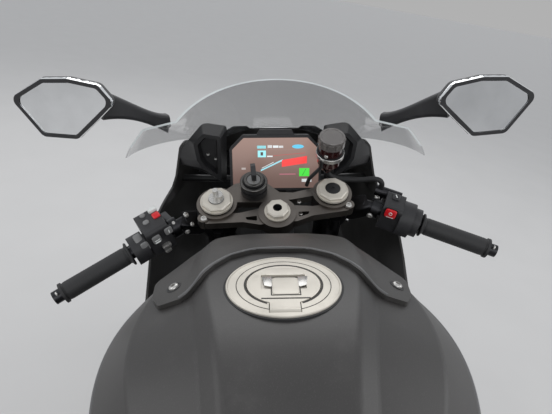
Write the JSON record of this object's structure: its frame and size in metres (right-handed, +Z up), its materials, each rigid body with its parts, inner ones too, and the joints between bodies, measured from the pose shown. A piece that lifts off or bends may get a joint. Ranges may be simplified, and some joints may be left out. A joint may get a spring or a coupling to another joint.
{
  "type": "sport motorcycle",
  "caption": "Faired sport motorcycle parked on its side stand, with clip-on bars, turning wheels and steering, a folding stand and a hinged filler lid.",
  "frame": {"origin": "centre of the bounding box on the floor the motorcycle stands on", "axes": "+X forward, +Y to the rider's left, +Z up; the machine leans on its side stand"},
  "size_m": [2.0865, 0.8533, 1.212],
  "materials": {
    "fork_black": "black anodised, satin",
    "bronze_clamp": "dark bronze-grey, satin",
    "bright_alloy": "clear anodised, warm",
    "alloy": "brushed",
    "rim": "black, satin",
    "steel": "ground",
    "tyre": "rubber",
    "rubber": "matt",
    "black_plastic": "grained",
    "frame_paint": "satin",
    "engine": "matt",
    "radiator": "black fins",
    "titanium": "heat tinted",
    "tank_paint": "very dark grey, satin",
    "body_paint": "very dark grey, satin",
    "screen": "clear smoked",
    "lens": "clear",
    "display": "glass face",
    "seat_vinyl": "grained",
    "red_lens": "ribbed",
    "spring": "gloss"
  },
  "bodies": {
    "chassis": {"main_frame": "frame_paint", "engine": "engine", "drive_chain": "steel", "swingarm": "frame_paint", "rear_axle": "steel", "rear_caliper": "fork_black", "rear_shock": "spring", "radiator": "radiator", "exhaust_pipes": "titanium", "silencer": "titanium", "fuel_tank": "tank_paint", "filler_ring": "bright_alloy", "tank_trim": "black_plastic", "nose_fairing": "body_paint", "side_fairings": "body_paint", "belly_pan": "body_paint", "headlamps": "lens", "windscreen": "screen", "mirrors": "black_plastic", "dashboard": "display", "dash_bracket": "fork_black", "rider_pad": "seat_vinyl", "passenger_pad": "seat_vinyl", "tail_cowl": "body_paint", "subframe": "frame_paint", "plate_holder": "black_plastic", "rear_lamps": "red_lens", "rear_hugger": "black_plastic", "rearsets": "alloy", "cockpit_panels": "black_plastic"},
    "fork": {"upper_clamp": "bronze_clamp", "lower_clamp": "fork_black", "fork_tubes": "fork_black", "fork_caps": "bright_alloy", "ignition_lock": "black_plastic", "fork_legs": "steel", "front_axle": "steel", "front_calipers": "fork_black", "front_mudguard": "body_paint", "clip_ons": "fork_black", "grips": "rubber", "switch_blocks": "black_plastic", "brake_levers": "alloy", "lever_perches": "fork_black", "brake_reservoir": "black_plastic", "brake_hoses": "rubber"},
    "front_wheel": {"front_tyre": "tyre", "front_rim": "rim", "front_discs": "steel"},
    "rear_wheel": {"rear_tyre": "tyre", "rear_rim": "rim", "rear_disc": "steel", "rear_sprocket": "steel"},
    "filler_lid": {"filler_lid": "bright_alloy"},
    "side_stand": {"side_stand": "frame_paint"}
  },
  "joints": [
    {"name": "steering", "type": "hinge", "parent": "chassis", "child": "fork", "pos_m": [0.48101, -0.03221, 0.82922], "axis": [-0.3913, 0.1439, 0.9089], "range_deg": [-28, 16]},
    {"name": "front_wheel_spin", "type": "hinge", "parent": "fork", "child": "front_wheel", "pos_m": [0.7444, -0.11341, 0.29536], "axis": [-0.0964, 0.9759, -0.196], "continuous": true},
    {"name": "rear_wheel_spin", "type": "hinge", "parent": "chassis", "child": "rear_wheel", "pos_m": [-0.69642, -0.1135, 0.31727], "axis": [-0.0002, 0.9877, -0.1564], "continuous": true},
    {"name": "side_stand_fold", "type": "hinge", "parent": "chassis", "child": "side_stand", "pos_m": [-0.00653, 0.05074, 0.21558], "axis": [0.0003, 0.9678, 0.2518], "range_deg": [0, 105]},
    {"name": "filler_lid_hinge", "type": "hinge", "parent": "chassis", "child": "filler_lid", "pos_m": [0.12095, -0.00726, 0.9871], "axis": [0.0002, -0.9877, 0.1564], "range_deg": [0, 100]}
  ]
}
